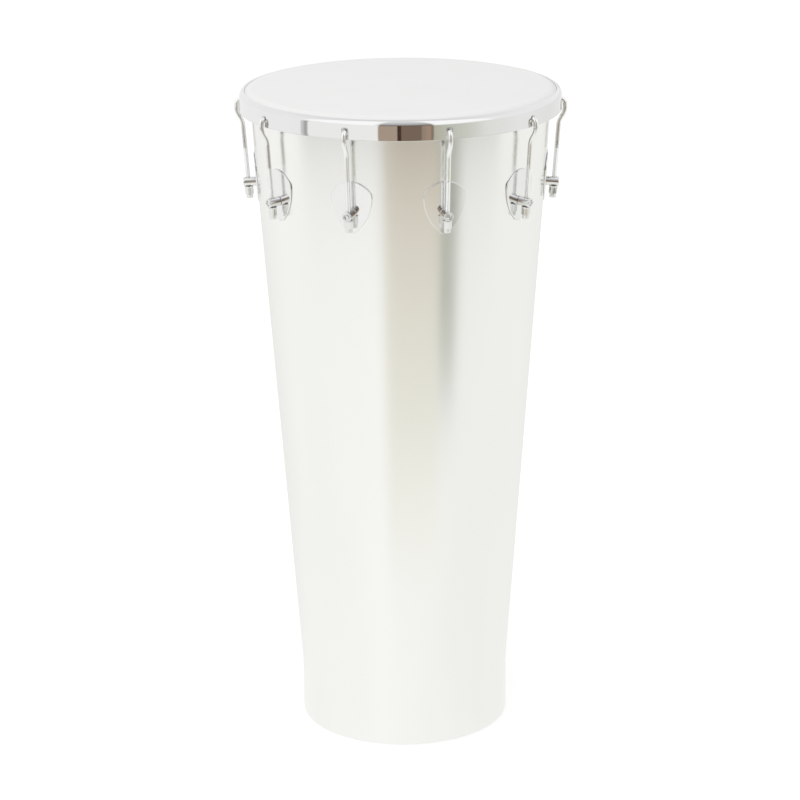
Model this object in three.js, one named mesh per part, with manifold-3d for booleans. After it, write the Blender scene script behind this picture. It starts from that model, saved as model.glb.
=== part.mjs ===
// A tall tapered hand drum: an aluminium shell, open at the foot, with a plastic head that a
// chromed counterhoop pulls down over the bearing edge. Ten hooked tension rods hang in holes
// in the hoop and pass through posts on the shell, where a flanged nut on each rod sets the
// tension. Millimetres, +Z up, origin at the middle of the foot on the floor. The front of the
// drum faces -Y, and a lug's angle is measured from there towards +X.
import * as THREE from "three";
import { mergeVertices } from "three/addons/utils/BufferGeometryUtils.js";
import Module from "manifold-3d";

const wasm = await Module();
wasm.setup();

// Whole drum
const HEAD_HEIGHT = 780; // playing surface above the floor
const LUG_COUNT = 10;
const FACETS_PER_LUG = 6;
const FIT_GAP = 0.3; // left between two pieces that touch
const CUT_OVERRUN = 4; // how far a cutting tool runs past what it cuts

// Shell: straight foot, cone, edges rolled inwards
const SHELL_WALL = 1.5;
const FOOT_RADIUS = 125;
const FOOT_HEIGHT = 66;
const FOOT_CORNER = 4.5;
const FOOT_FLAT = 3; // width of the ring that the drum stands on
const FOOT_LIP_RUN = 1.6; // the rolled edge rises inwards by this much
const FOOT_LIP_RISE = 3.5;
const SHELL_TOP_RADIUS = 176.2;
const BEARING_CURL = 4;

// Head: film over the bearing edge, its skirt held in the channel of the flesh hoop
const FILM = 0.5;
const COLLAR_RUN = 4.75; // from the shell's outside to the skirt's inside
const COLLAR_DROP = 4.8; // from the playing surface to the top of the skirt
const SKIRT_DEPTH = 5.7;
const CHANNEL_CLEARANCE = 0.45; // each side of the skirt
const CHANNEL_INNER_WALL = 1;
const CHANNEL_OUTER_WALL = 1.9;
const CHANNEL_FLOOR = 1.8;
const CHANNEL_INNER_STEP = 2.5; // the inner wall ends this far under the outer one
const CHANNEL_SPARE_DEPTH = 3; // under the skirt, for the hoop's travel

// Counterhoop: pressed band with a rounded shoulder and a lip over the flesh hoop
const HOOP_SHEET = 2;
const HOOP_DROP = 2.4; // from the playing surface to the top of the hoop
const HOOP_HEIGHT = 22.9;
const HOOP_SHOULDER = 4;
const HOOP_FLARE = 0.9; // the lower edge stands out by this much
const HOOP_FLARE_HEIGHT = 3.5;
const HOOP_BAND_GAP = 1.8; // from the flesh hoop to the inside of the band
const HOOP_LIP_CLEARANCE = 0.6; // from the film's skirt to the lip
const HOOK_HOLE_RADIUS = 3.8;
const HOOK_HOLE_SLACK = 0.7; // under the hook, which bears on the hole's lower side

// Tension rods: wire with a crook at the top
const ROD_RADIUS = 2.75;
const ROD_OFFSET = 11; // from the shell to the middle of the rod
const ROD_END_INSIDE = 0.8; // from the nut's lower end up to the end of the rod
const HOOK_DROP = 14.2; // from the top of the hoop to the middle of the wire that enters it
const HOOK_BEND = 4.7;
const HOOK_RISE = 5; // straight wire under the bend
const SWEEP_HEIGHT = 17; // height of the outward sweep under the hoop
const HOOK_TIP_INSIDE = 1.2; // how far the tip reaches past the hoop's inside

// Lug posts, plates and nuts
const LUG_DROP = 113.3; // from the playing surface to the middle of the posts
const POST_RADIUS = 5.6;
const POST_REACH = 18; // from the shell to the post's end face
const POST_TAIL_RADIUS = 2.9;
const POST_TAIL_SPARE = 1.5; // thread past the lock nut
const POST_SEAT_DEPTH = 0.9; // flat cut under the post for the nut
const POST_RECESS_RADIUS = 3.4;
const POST_RECESS_DEPTH = 1.2;
const TAIL_CLEARANCE = 0.35; // round the tail in the shell, the plate and the lock nut
const ROD_CLEARANCE = 0.6; // round the rod in the post and the nut
const PLATE_THICKNESS = 2;
const PLATE_HALF_WIDTH = 24.5;
const PLATE_TOP = 37.2; // above the post
const PLATE_BOTTOM = 24; // below the post
// Half of the plate's outline from its point up: each row steers and ends one curve, in shares
// of the half width and of the height
const PLATE_CURVE_SHARES = [
  [0.2, 0, 0.37, 0.09],
  [0.94, 0.31, 1, 0.69],
  [1, 0.78, 0.88, 0.83],
  [0.49, 1, 0, 1],
];
const NUT_FLATS = 9;
const NUT_HEIGHT = 14.4; // with its flange and its collar
const NUT_FLANGE_RADIUS = 5.4;
const NUT_FLANGE = 1.4;
const NUT_COLLAR_RADIUS = 4;
const NUT_COLLAR = 4.8; // round lower end
const LOCK_NUT_FLATS = 10;
const LOCK_NUT_HEIGHT = 4;
const LOCK_FLANGE_RADIUS = 7;
const LOCK_FLANGE = 1.2;

// How finely curves are cut
const ARC_STEPS = 3;
const CURL_STEPS = 4;
const ROD_SIDES = 8;
const SWEEP_STEPS = 5;
const HOOK_STEPS = 4;
const PLATE_STEPS = 3;
const POST_SIDES = 12;
const HOLE_SIDES = 8;
const HEX = 6;

// Sizes that follow from the ones above
const ROUND_SEGMENTS = LUG_COUNT * FACETS_PER_LUG;
const SHELL_TOP = HEAD_HEIGHT - FILM - FIT_GAP;
const CONE_TOP = SHELL_TOP - BEARING_CURL;
const BEARING_RADIUS = SHELL_TOP_RADIUS - BEARING_CURL;
const TAPER = Math.atan2(SHELL_TOP_RADIUS - FOOT_RADIUS, CONE_TOP - FOOT_HEIGHT);
const coneRadius = (z) => FOOT_RADIUS + (z - FOOT_HEIGHT) * Math.tan(TAPER);
const SKIRT_INNER = SHELL_TOP_RADIUS + COLLAR_RUN;
const SKIRT_OUTER = SKIRT_INNER + FILM;
const SKIRT_TOP = HEAD_HEIGHT - COLLAR_DROP;
const FLESH_HOOP_OUTER = SKIRT_OUTER + CHANNEL_CLEARANCE + CHANNEL_OUTER_WALL;
const HOOP_BAND = FLESH_HOOP_OUTER + HOOP_BAND_GAP + HOOP_SHEET;
const HOOP_TOP = HEAD_HEIGHT - HOOP_DROP;
const HOOP_BOTTOM = HOOP_TOP - HOOP_HEIGHT;
const HOOK_HEIGHT = HOOP_TOP - HOOK_DROP;
const RISER_RADIUS = HOOP_BAND + HOOP_FLARE + FIT_GAP + ROD_RADIUS;
const LUG_HEIGHT = HEAD_HEIGHT - LUG_DROP;
const LUG_RADIUS = coneRadius(LUG_HEIGHT);
const PLATE_FACE = FIT_GAP + PLATE_THICKNESS;
const SEAT_DROP = POST_RADIUS - POST_SEAT_DEPTH;
const FACET_FALL = Math.tan(Math.PI / ROUND_SEGMENTS); // a facet's slope, seen from its edge
const LOCK_SEAT = SHELL_WALL + LOCK_FLANGE_RADIUS * FACET_FALL + FIT_GAP;

// Profiles are lists of [radius, height]. An arc's angles are in degrees, 0 pointing outwards.
function arc(cx, cz, radius, from, to, steps = ARC_STEPS) {
  return Array.from({ length: steps + 1 }, (_, i) => {
    const a = THREE.MathUtils.degToRad(from + ((to - from) * i) / steps);
    return [cx + radius * Math.cos(a), cz + radius * Math.sin(a)];
  });
}

// The left-hand side of a path, at a distance, with mitred corners. A point on the axis stays there.
function offsetLeft(path, distance) {
  const last = path.length - 1;
  const direction = (a, b) => {
    const length = Math.hypot(b[0] - a[0], b[1] - a[1]);
    return [(b[0] - a[0]) / length, (b[1] - a[1]) / length];
  };
  return path.map((point, i) => {
    const before = direction(path[Math.max(i - 1, 0)], path[Math.max(i, 1)]);
    const after = direction(path[Math.min(i, last - 1)], path[Math.min(i + 1, last)]);
    const normal = [-(before[1] + after[1]), before[0] + after[0]];
    const mitre = (2 * distance) / (normal[0] ** 2 + normal[1] ** 2);
    return [point[0] && point[0] + normal[0] * mitre, point[1] + normal[1] * mitre];
  });
}

// Turns an outline about the Z axis. The outline runs with its material on the left.
function turned(outline) {
  const points = outline.map(([r, z]) => new THREE.Vector2(r, z));
  return new THREE.LatheGeometry(points, ROUND_SEGMENTS).rotateX(Math.PI / 2);
}

// Sheet of even thickness bent along a path, turned about the Z axis. A path may end on the axis.
function turnedSheet(path, thickness) {
  const outline = [...offsetLeft(path, thickness).reverse(), ...path];
  const onAxis = path.at(-1)[0] === 0;
  return turned(onAxis ? outline : [...outline, outline[0]]);
}

// Solids for cutting and joining
function solidOf(geometry, matrix = new THREE.Matrix4()) {
  const bare = geometry.clone().applyMatrix4(matrix);
  bare.deleteAttribute("normal");
  bare.deleteAttribute("uv");
  const merged = mergeVertices(bare);
  return new wasm.Manifold(
    new wasm.Mesh({
      numProp: 3,
      vertProperties: merged.attributes.position.array,
      triVerts: new Uint32Array(merged.index.array),
    }),
  );
}

function geometryOf(solid) {
  const mesh = solid.getMesh();
  const geometry = new THREE.BufferGeometry();
  geometry.setAttribute("position", new THREE.BufferAttribute(mesh.vertProperties, 3));
  geometry.setIndex(new THREE.BufferAttribute(mesh.triVerts, 1));
  const faceted = geometry.toNonIndexed();
  faceted.computeVertexNormals();
  return faceted;
}

// Round or hexagonal bars between two stations, along X and along Z
function barAlongX(radius, from, to, sides) {
  return new THREE.CylinderGeometry(radius, radius, to - from, sides)
    .rotateZ(-Math.PI / 2)
    .translate((from + to) / 2, 0, 0);
}

function barAlongZ(radius, from, to, sides) {
  return new THREE.CylinderGeometry(radius, radius, to - from, sides)
    .rotateX(Math.PI / 2)
    .translate(0, 0, (from + to) / 2);
}

// A lug's pieces are made in the radial frame, where +X points outwards, and turned to the lug.
// The wall frame stands on the shell at the post and leans with the cone.
const lugAngle = (i) => ((i + 1 / 2) * 2 * Math.PI) / LUG_COUNT - Math.PI / 2;
const wallMatrix = new THREE.Matrix4()
  .makeTranslation(LUG_RADIUS, 0, LUG_HEIGHT)
  .multiply(new THREE.Matrix4().makeRotationY(TAPER));
const rodLine = (s) => new THREE.Vector3(ROD_OFFSET, 0, s).applyMatrix4(wallMatrix);
const rodMatrix = wallMatrix
  .clone()
  .multiply(new THREE.Matrix4().makeTranslation(ROD_OFFSET, 0, 0));

function cutAtEachLug(geometry, cutter, cutterMatrix = new THREE.Matrix4()) {
  let solid = solidOf(geometry);
  for (let i = 0; i < LUG_COUNT; i++) {
    const turn = new THREE.Matrix4().makeRotationZ(lugAngle(i));
    solid = solid.subtract(solidOf(cutter, turn.multiply(cutterMatrix)));
  }
  return geometryOf(solid);
}

function shellGeometry() {
  const lipRadius = FOOT_RADIUS - FOOT_CORNER - FOOT_FLAT;
  const path = [
    [lipRadius - FOOT_LIP_RUN, FOOT_LIP_RISE],
    [lipRadius, 0],
    ...arc(FOOT_RADIUS - FOOT_CORNER, FOOT_CORNER, FOOT_CORNER, 270, 360),
    [FOOT_RADIUS, FOOT_HEIGHT],
    ...arc(BEARING_RADIUS, CONE_TOP, BEARING_CURL, 0, 180, CURL_STEPS),
  ];
  const holeRadius = POST_TAIL_RADIUS + TAIL_CLEARANCE;
  const hole = barAlongX(holeRadius, -SHELL_WALL - CUT_OVERRUN, CUT_OVERRUN, HOLE_SIDES);
  return cutAtEachLug(turnedSheet(path, SHELL_WALL), hole, wallMatrix);
}

function drumheadGeometry() {
  const bend = BEARING_CURL + FIT_GAP + FILM;
  return turnedSheet(
    [
      [SKIRT_OUTER, SKIRT_TOP - SKIRT_DEPTH],
      [SKIRT_OUTER, SKIRT_TOP],
      ...arc(BEARING_RADIUS, CONE_TOP, bend, 40, 90),
      [0, HEAD_HEIGHT],
    ],
    FILM,
  );
}

// Channel section, from the inside of the floor round to the inner wall's top
function fleshHoopGeometry() {
  const slotInner = SKIRT_INNER - CHANNEL_CLEARANCE;
  const slotOuter = SKIRT_OUTER + CHANNEL_CLEARANCE;
  const inner = slotInner - CHANNEL_INNER_WALL;
  const top = HOOP_TOP - HOOP_SHEET - FIT_GAP;
  const slotFloor = SKIRT_TOP - SKIRT_DEPTH - CHANNEL_SPARE_DEPTH;
  const outline = [
    [inner, slotFloor - CHANNEL_FLOOR],
    [FLESH_HOOP_OUTER, slotFloor - CHANNEL_FLOOR],
    [FLESH_HOOP_OUTER, top],
    [slotOuter, top],
    [slotOuter, slotFloor],
    [slotInner, slotFloor],
    [slotInner, top - CHANNEL_INNER_STEP],
    [inner, top - CHANNEL_INNER_STEP],
  ];
  return turned([...outline, outline[0]]);
}

function counterhoopGeometry() {
  const path = [
    [HOOP_BAND + HOOP_FLARE, HOOP_BOTTOM],
    [HOOP_BAND, HOOP_BOTTOM + HOOP_FLARE_HEIGHT],
    ...arc(HOOP_BAND - HOOP_SHOULDER, HOOP_TOP - HOOP_SHOULDER, HOOP_SHOULDER, 0, 90),
    [SKIRT_OUTER + HOOP_LIP_CLEARANCE, HOOP_TOP],
  ];
  const holeMiddle = HOOK_HEIGHT - ROD_RADIUS - HOOK_HOLE_SLACK + HOOK_HOLE_RADIUS;
  const hole = barAlongX(
    HOOK_HOLE_RADIUS,
    HOOP_BAND - HOOP_SHEET - CUT_OVERRUN,
    HOOP_BAND + CUT_OVERRUN,
    HOLE_SIDES,
  ).translate(0, 0, holeMiddle);
  return cutAtEachLug(turnedSheet(path, HOOP_SHEET), hole);
}

// A route through stations that lie closer together where it bends.
class StationCurve extends THREE.Curve {
  constructor(stations) {
    super();
    this.stations = stations;
  }

  getPoint(t, target = new THREE.Vector3()) {
    const last = this.stations.length - 1;
    const i = Math.min(Math.floor(t * last), last - 1);
    return target.lerpVectors(this.stations[i], this.stations[i + 1], t * last - i);
  }

  getUtoTmapping(u) {
    return u;
  }
}

// Up the wall, out and up past the hoop's lower edge, and over into the hole
function rodStations() {
  const tail = rodLine(-SEAT_DROP - FIT_GAP - NUT_HEIGHT + ROD_END_INSIDE);
  const riserBottom = HOOK_HEIGHT - HOOK_BEND - HOOK_RISE;
  const up = new THREE.Vector3(0, 0, 1).transformDirection(wallMatrix);
  const sweepStart = rodLine((riserBottom - SWEEP_HEIGHT - rodLine(0).z) / up.z);
  const sweepEnd = new THREE.Vector3(RISER_RADIUS, 0, riserBottom);
  const sweep = new THREE.CubicBezierCurve3(
    sweepStart,
    up.clone().multiplyScalar(SWEEP_HEIGHT / 2).add(sweepStart),
    new THREE.Vector3(RISER_RADIUS, 0, riserBottom - SWEEP_HEIGHT / 2),
    sweepEnd,
  );
  const bendMiddle = [RISER_RADIUS - HOOK_BEND, HOOK_HEIGHT - HOOK_BEND];
  const bend = arc(...bendMiddle, HOOK_BEND, 0, 90, HOOK_STEPS);
  const tip = new THREE.Vector3(HOOP_BAND - HOOP_SHEET - HOOK_TIP_INSIDE, 0, HOOK_HEIGHT);
  return [
    tail,
    ...sweep.getPoints(SWEEP_STEPS),
    ...bend.map(([r, z]) => new THREE.Vector3(r, 0, z)),
    tip,
  ];
}

function tensionRodGeometry() {
  const stations = rodStations();
  const ring = Array.from({ length: ROD_SIDES }, (_, i) => {
    const a = ((i + 1 / 2) * 2 * Math.PI) / ROD_SIDES;
    return new THREE.Vector2(ROD_RADIUS * Math.cos(a), ROD_RADIUS * Math.sin(a));
  });
  return new THREE.ExtrudeGeometry(new THREE.Shape(ring), {
    steps: stations.length - 1,
    extrudePath: new StationCurve(stations),
  });
}

// Barrel with a threaded tail, a cross hole for the rod, a flat seat and a recess in its end
function lugPostGeometry() {
  const tailEnd = -LOCK_SEAT - LOCK_FLANGE - LOCK_NUT_HEIGHT - POST_TAIL_SPARE;
  const base = PLATE_FACE + FIT_GAP;
  const barrel = solidOf(barAlongX(POST_RADIUS, base, POST_REACH, POST_SIDES));
  const tail = solidOf(barAlongX(POST_TAIL_RADIUS, tailEnd, base + FIT_GAP, HOLE_SIDES));
  const recess = solidOf(
    barAlongX(POST_RECESS_RADIUS, POST_REACH - POST_RECESS_DEPTH, POST_REACH + CUT_OVERRUN, HOLE_SIDES),
  );
  const reach = POST_RADIUS + CUT_OVERRUN;
  const crossHole = solidOf(
    barAlongZ(ROD_RADIUS + ROD_CLEARANCE, -reach, reach, HOLE_SIDES).translate(ROD_OFFSET, 0, 0),
  );
  const seatLength = 2 * (NUT_FLANGE_RADIUS + FIT_GAP);
  const seatCut = solidOf(
    new THREE.BoxGeometry(seatLength, 2 * reach, CUT_OVERRUN).translate(
      ROD_OFFSET,
      0,
      -SEAT_DROP - CUT_OVERRUN / 2,
    ),
  );
  const post = barrel.add(tail).subtract(recess).subtract(crossHole).subtract(seatCut);
  return geometryOf(post).applyMatrix4(wallMatrix);
}

// Rounded triangle, point down, its outline in the wall frame's Y and Z
function platePrism() {
  const height = PLATE_TOP + PLATE_BOTTOM;
  const half = new THREE.Path().moveTo(0, -PLATE_BOTTOM);
  for (const [steerWide, steerHigh, endWide, endHigh] of PLATE_CURVE_SHARES) {
    half.quadraticCurveTo(
      steerWide * PLATE_HALF_WIDTH,
      steerHigh * height - PLATE_BOTTOM,
      endWide * PLATE_HALF_WIDTH,
      endHigh * height - PLATE_BOTTOM,
    );
  }
  const right = half.getPoints(PLATE_STEPS);
  const left = right.slice(1, -1).map((p) => new THREE.Vector2(-p.x, p.y));
  const outline = new THREE.Shape([...right, ...left.reverse()]);
  const upright = new THREE.Matrix4().makeBasis(
    new THREE.Vector3(0, 1, 0),
    new THREE.Vector3(0, 0, 1),
    new THREE.Vector3(1, 0, 0),
  );
  return new THREE.ExtrudeGeometry(outline, { depth: 2 * CUT_OVERRUN, bevelEnabled: false })
    .translate(0, 0, -CUT_OVERRUN)
    .applyMatrix4(upright);
}

// The outline cut from a sheet that follows the cone
function lugPlateGeometry() {
  const low = LUG_HEIGHT - PLATE_BOTTOM - CUT_OVERRUN;
  const high = LUG_HEIGHT + PLATE_TOP + CUT_OVERRUN;
  const back = FIT_GAP / Math.cos(TAPER);
  const face = PLATE_FACE / Math.cos(TAPER);
  const outline = [
    [coneRadius(low) + back, low],
    [coneRadius(low) + face, low],
    [coneRadius(high) + face, high],
    [coneRadius(high) + back, high],
  ];
  const sheet = solidOf(turned([...outline, outline[0]]));
  const holeRadius = POST_TAIL_RADIUS + TAIL_CLEARANCE;
  const hole = barAlongX(holeRadius, -CUT_OVERRUN, PLATE_FACE + CUT_OVERRUN, HOLE_SIDES);
  return geometryOf(
    sheet.intersect(solidOf(platePrism(), wallMatrix)).subtract(solidOf(hole, wallMatrix)),
  );
}

// Washer face under the post, hexagon below it, collar at the lower end
function tuningNutGeometry() {
  const top = -SEAT_DROP - FIT_GAP;
  const bottom = top - NUT_HEIGHT;
  const hexBottom = bottom + NUT_COLLAR;
  const hexRadius = NUT_FLATS / 2 / Math.cos(Math.PI / HEX);
  const washer = solidOf(barAlongZ(NUT_FLANGE_RADIUS, top - NUT_FLANGE, top, POST_SIDES));
  const hexagon = solidOf(barAlongZ(hexRadius, hexBottom, top - NUT_FLANGE / 2, HEX));
  const collar = solidOf(barAlongZ(NUT_COLLAR_RADIUS, bottom, hexBottom + NUT_FLANGE, POST_SIDES));
  const bore = solidOf(
    barAlongZ(ROD_RADIUS + ROD_CLEARANCE, bottom - CUT_OVERRUN, top + CUT_OVERRUN, HOLE_SIDES),
  );
  return geometryOf(washer.add(hexagon).add(collar).subtract(bore)).applyMatrix4(rodMatrix);
}

// Inside the shell, washer face against the wall
function lugLockNutGeometry() {
  const flangeBack = -LOCK_SEAT - LOCK_FLANGE;
  const back = flangeBack - LOCK_NUT_HEIGHT;
  const hexRadius = LOCK_NUT_FLATS / 2 / Math.cos(Math.PI / HEX);
  const washer = solidOf(barAlongX(LOCK_FLANGE_RADIUS, flangeBack, -LOCK_SEAT, POST_SIDES));
  const hexagon = solidOf(barAlongX(hexRadius, back, flangeBack + LOCK_FLANGE / 2, HEX));
  const boreRadius = POST_TAIL_RADIUS + TAIL_CLEARANCE;
  const bore = solidOf(barAlongX(boreRadius, back - CUT_OVERRUN, CUT_OVERRUN, HOLE_SIDES));
  return geometryOf(washer.add(hexagon).subtract(bore)).applyMatrix4(wallMatrix);
}

// Finishes
const polishedAluminium = { color: 0xe9eae5, roughness: 0.14, metalness: 1 };
const chrome = { color: 0xdfe2e2, roughness: 0.07, metalness: 1 };
const zincSteel = { color: 0xb4b7b8, roughness: 0.35, metalness: 1 };
const milkyFilm = { color: 0xe8e9ea, roughness: 0.45, metalness: 0 };

const drum = new THREE.Group();

function addPiece(name, geometry, finish, turn = 0) {
  const piece = new THREE.Mesh(geometry, new THREE.MeshStandardMaterial(finish));
  piece.name = name;
  piece.rotation.z = turn;
  drum.add(piece);
}

function addAtEachLug(name, geometry, finish) {
  for (let i = 0; i < LUG_COUNT; i++) {
    addPiece(`${name}_${String(i + 1).padStart(2, "0")}`, geometry, finish, lugAngle(i));
  }
}

addPiece("shell", shellGeometry(), polishedAluminium);
addPiece("drumhead", drumheadGeometry(), milkyFilm);
addPiece("flesh_hoop", fleshHoopGeometry(), zincSteel);
addPiece("counterhoop", counterhoopGeometry(), chrome);
addAtEachLug("tension_rod", tensionRodGeometry(), chrome);
addAtEachLug("tuning_nut", tuningNutGeometry(), chrome);
addAtEachLug("lug_post", lugPostGeometry(), chrome);
addAtEachLug("lug_plate", lugPlateGeometry(), chrome);
addAtEachLug("lug_lock_nut", lugLockNutGeometry(), zincSteel);

export default drum;
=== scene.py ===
"""A tall aluminium hand drum with a plastic head, a chromed hoop, hooked rods and lugs.

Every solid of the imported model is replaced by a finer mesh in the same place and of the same
shape, but for the sizes in the second group below. Lengths of the drum and of the floor are in
millimetres and become metres in make(); those of the camera, the lamp, the materials and the
studio are in metres. The drum's front faces -Y. A lug's pieces are made in the lug's own frame,
where +X points outwards, and are turned to the lug.
"""

import math

import bpy
from mathutils import Matrix, Vector


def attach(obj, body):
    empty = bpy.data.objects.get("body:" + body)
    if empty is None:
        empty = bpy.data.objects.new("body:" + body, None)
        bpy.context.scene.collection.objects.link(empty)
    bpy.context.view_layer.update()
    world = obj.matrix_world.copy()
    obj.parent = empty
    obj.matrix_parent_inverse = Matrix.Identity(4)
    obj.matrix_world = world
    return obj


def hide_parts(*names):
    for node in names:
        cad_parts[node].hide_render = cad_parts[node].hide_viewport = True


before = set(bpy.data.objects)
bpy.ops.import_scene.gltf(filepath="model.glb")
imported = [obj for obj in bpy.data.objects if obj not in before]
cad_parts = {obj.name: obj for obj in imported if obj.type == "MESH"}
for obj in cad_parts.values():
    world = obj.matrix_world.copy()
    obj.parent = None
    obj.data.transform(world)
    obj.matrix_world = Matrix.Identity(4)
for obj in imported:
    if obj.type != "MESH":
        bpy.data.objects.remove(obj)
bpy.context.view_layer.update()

MM = 0.001
TURN = 2 * math.pi
QUARTER = TURN / 4
SIXTH = TURN / 6

# The drum's main sizes, as the solids have them
LUG_COUNT = 10
HEAD_HEIGHT = 780
GAP = 0.3
SHELL_WALL = 1.5
FOOT_RADIUS = 125
FOOT_HEIGHT = 66
FOOT_CORNER = 4.5
FOOT_FLAT = 3
FOOT_LIP_RUN = 1.6
FOOT_LIP_RISE = 3.5
SHELL_TOP_RADIUS = 176.2
BEARING_CURL = 4
FILM = 0.5
COLLAR_RUN = 4.75
COLLAR_DROP = 4.8
SKIRT_DEPTH = 5.7
CHANNEL_CLEARANCE = 0.45
CHANNEL_INNER_WALL = 1
CHANNEL_OUTER_WALL = 1.9
CHANNEL_FLOOR = 1.8
CHANNEL_INNER_STEP = 2.5
CHANNEL_SPARE_DEPTH = 3
HOOP_SHEET = 2
HOOP_DROP = 2.4
HOOP_HEIGHT = 22.9
HOOP_FLARE = 0.9  # here it only says how far out the rods pass
HOOP_FLARE_HEIGHT = 3.5
HOOP_BAND_GAP = 1.8
HOOK_HOLE_RADIUS = 3.8
HOOK_HOLE_SLACK = 0.7
ROD_RADIUS = 2.75
ROD_OFFSET = 11
ROD_END_INSIDE = 0.8
HOOK_DROP = 14.2
HOOK_BEND = 4.7
HOOK_TIP_INSIDE = 1.2
LUG_DROP = 113.3
POST_RADIUS = 5.6
POST_TAIL_RADIUS = 2.9
POST_TAIL_SPARE = 1.5
POST_SEAT_DEPTH = 0.9
TAIL_CLEARANCE = 0.35
PLATE_HALF_WIDTH = 24.5
PLATE_TOP = 37.2
PLATE_BOTTOM = 24
PLATE_CURVE_SHARES = (
    (0.2, 0, 0.37, 0.09),
    (0.94, 0.31, 1, 0.69),
    (1, 0.78, 0.88, 0.83),
    (0.49, 1, 0, 1),
)
NUT_FLATS = 9
NUT_HEIGHT = 14.4
NUT_FLANGE_RADIUS = 5.4
NUT_FLANGE = 1.4
NUT_COLLAR_RADIUS = 4
NUT_COLLAR = 4.8
LOCK_NUT_FLATS = 10
LOCK_NUT_HEIGHT = 4
LOCK_FLANGE_RADIUS = 7
LOCK_FLANGE = 1.2

# Sizes that differ from the solids' own: softer bends, shorter posts, thinner plates and closer
# bores
COLLAR_BEND = 12
HOOP_SHOULDER = 7.7
HOOP_SHOULDER_TURN = 67  # degrees, up to the lip's nose
HOOP_ROLL = 0.25  # how far the lower edge stands out
HOOK_RISE = 4
SWEEP_HEIGHT = 22
POST_REACH = 17
POST_RECESS_RADIUS = 3.2
POST_RECESS_DEPTH = 2
POST_BORE_CLEARANCE = 0.45
PLATE_THICKNESS = 1.2
NUT_BORE = 2.98
LOCK_SEAT = 2.2

# How far round the rod the cut for a post's seat goes
POST_SEAT_RADIUS = 7.5

# Detail that the solids leave out
EDGE_ROUND = 0.3
LIP_BEND_RUN, LIP_BEND_RISE = 0.45, 0.35  # shares of the foot's lip where it bends
FOOT_KINK_RUN = 7  # height over which the shell turns from foot to cone
CHANNEL_BEVEL_RUN = 1.4  # the flesh hoop's outer top corner, clear of the hoop's shoulder
CHANNEL_BEVEL_RISE = 1.3
ROLL_POWER = 1.6  # how fast the hoop's lower edge comes in
COLLAR_START = 48  # degrees of the collar's bend where it leaves the skirt
SKIRT_EASE = ((0, -1), (0, 1), (-0.15, 1.4))  # out and up from the skirt's top
THREAD_PITCH = 1
THREAD_CREST = 2.86
THREAD_DEPTH = 0.42
THREAD_TOP = 41  # above the post's middle
THREAD_RUN_OUT = 2
THREAD_LEAD = 1.2  # height of the taper at the rod's end
THREAD_END_SHARE = 0.78  # of the thread's radius that is left there
TIP_ROUND = ((0.5, 1), (0.2, 0.88), (0, 0.62))  # from the hook's tip and radius, in wire radii
TAIL_END_SHARE = 0.7
TAIL_NECK = 0.1  # the plain part of the tail is thinner by this much
THREAD_TO_NECK = 0.2  # along the tail
POST_BASE_CHAMFER = 0.4
POST_RIM = 0.9  # height of the rounded rim
RIM_INSET = 0.1  # from the rim to the recess
RECESS_LIP = 0.2  # from the rim down to the recess's wall
RECESS_DRAFT = 0.1  # the recess is narrower by this much at its floor
RECESS_DISH = 0.9  # how much deeper the recess is round its boss
BOSS_HALF_WIDTH = 1.2
BOSS_CORNER = 1.3  # longest reach of the boss, in half widths
BOSS_HEIGHT = 0.8
BOSS_CHAMFER = 0.12
PLATE_BACK_EDGE = 0.15
PLATE_ROUND = 0.85
PLATE_CROWN = 0.1
PLATE_FLATTER = 0.08  # how much flatter than the cone the plate's face is
BORE_CHAMFER = 0.3
NUT_FLANGE_EDGE = ((0, 0.3), (0.12, 0.08), (0.35, 0), (0.8, 0), (1.05, 0.1))  # down and in
NUT_FLANGE_CONE = ((0, 0.45), (0.6, 0.9))  # down from the flange and in
NUT_CHAMFER = ((0.45, 0), (0.225, 0.3), (0, 0.75))  # up and in at the hexagon's lower corners
NUT_COLLAR_STEP = 0.05  # from the hexagon down to the collar
NUT_COLLAR_EDGE = ((0.5, 0), (0.15, 0.15), (0, 0.5))  # up and in
NUT_MOUTH_RISE, NUT_MOUTH_RUN = 0.4, 0.35
LOCK_FLANGE_EDGE = ((0, 0.3), (0.3, 0), (0.8, 0), (LOCK_FLANGE, 0.5))  # back and in
LOCK_FLANGE_STEP = 0.1  # from the flange back to the hexagon
LOCK_NUT_CHAMFER = ((0.5, 0), (0, 0.8))  # forward and in
LOCK_MOUTH_RISE, LOCK_MOUTH_RUN = 0.4, 0.4
NUT_TURN = 37  # degrees from each tuning nut to the next, as no two stand alike

# How finely the meshes are cut
SECTOR_STEPS = 14
PATCH_CELLS = 6
PATCH_HALF = 5.4
PATCH_MARGIN = 3 * PATCH_HALF
HOLE_RING_SHARES = (0.35, 0.7)  # of the way from a patch's border to its hole
HOLE_EDGE_ANGLES = (0, 0.5, 1, QUARTER)
LATHE_SIDES = 240
FOOT_CORNER_STEPS = 8
FOOT_ROWS = (6, 20, 40)
KINK_STEPS = 6
CONE_ROWS = (6, 60, 150, 250, 350, 450, 540)
CONE_ROW_OVER_LUGS = 60
CONE_ROWS_UNDER_CURL = (4, 1)
BEARING_STEPS = 14
ROLL_STEPS = 6
ROLL_END = 0.1  # from the roll up to the first plain row
HOOP_PATCH_START = 0.6  # from the roll up to the patches
SHOULDER_STEPS = 14
NOSE_STEPS = 10
FOOT_NOSE_STEPS = 8
COLLAR_STEPS = 16
FLAT_START = 6  # from the bearing edge in to the flat of the film
THREAD_ROWS_PER_TURN = 4
ROD_ROWS_OVER_THREAD = (0.3, 6)
SWEEP_STEPS = 14
HOOK_STEPS = 12
ROD_SIDES = 24
POST_SIDES = 48
POST_ROWS = range(5, 16, 2)
RIM_ANGLES = range(0, 171, 17)
BORE_SIDES = 32
PLATE_POINTS_PER_CURVE = 9
PLATE_ROUND_STEPS = 6
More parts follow.
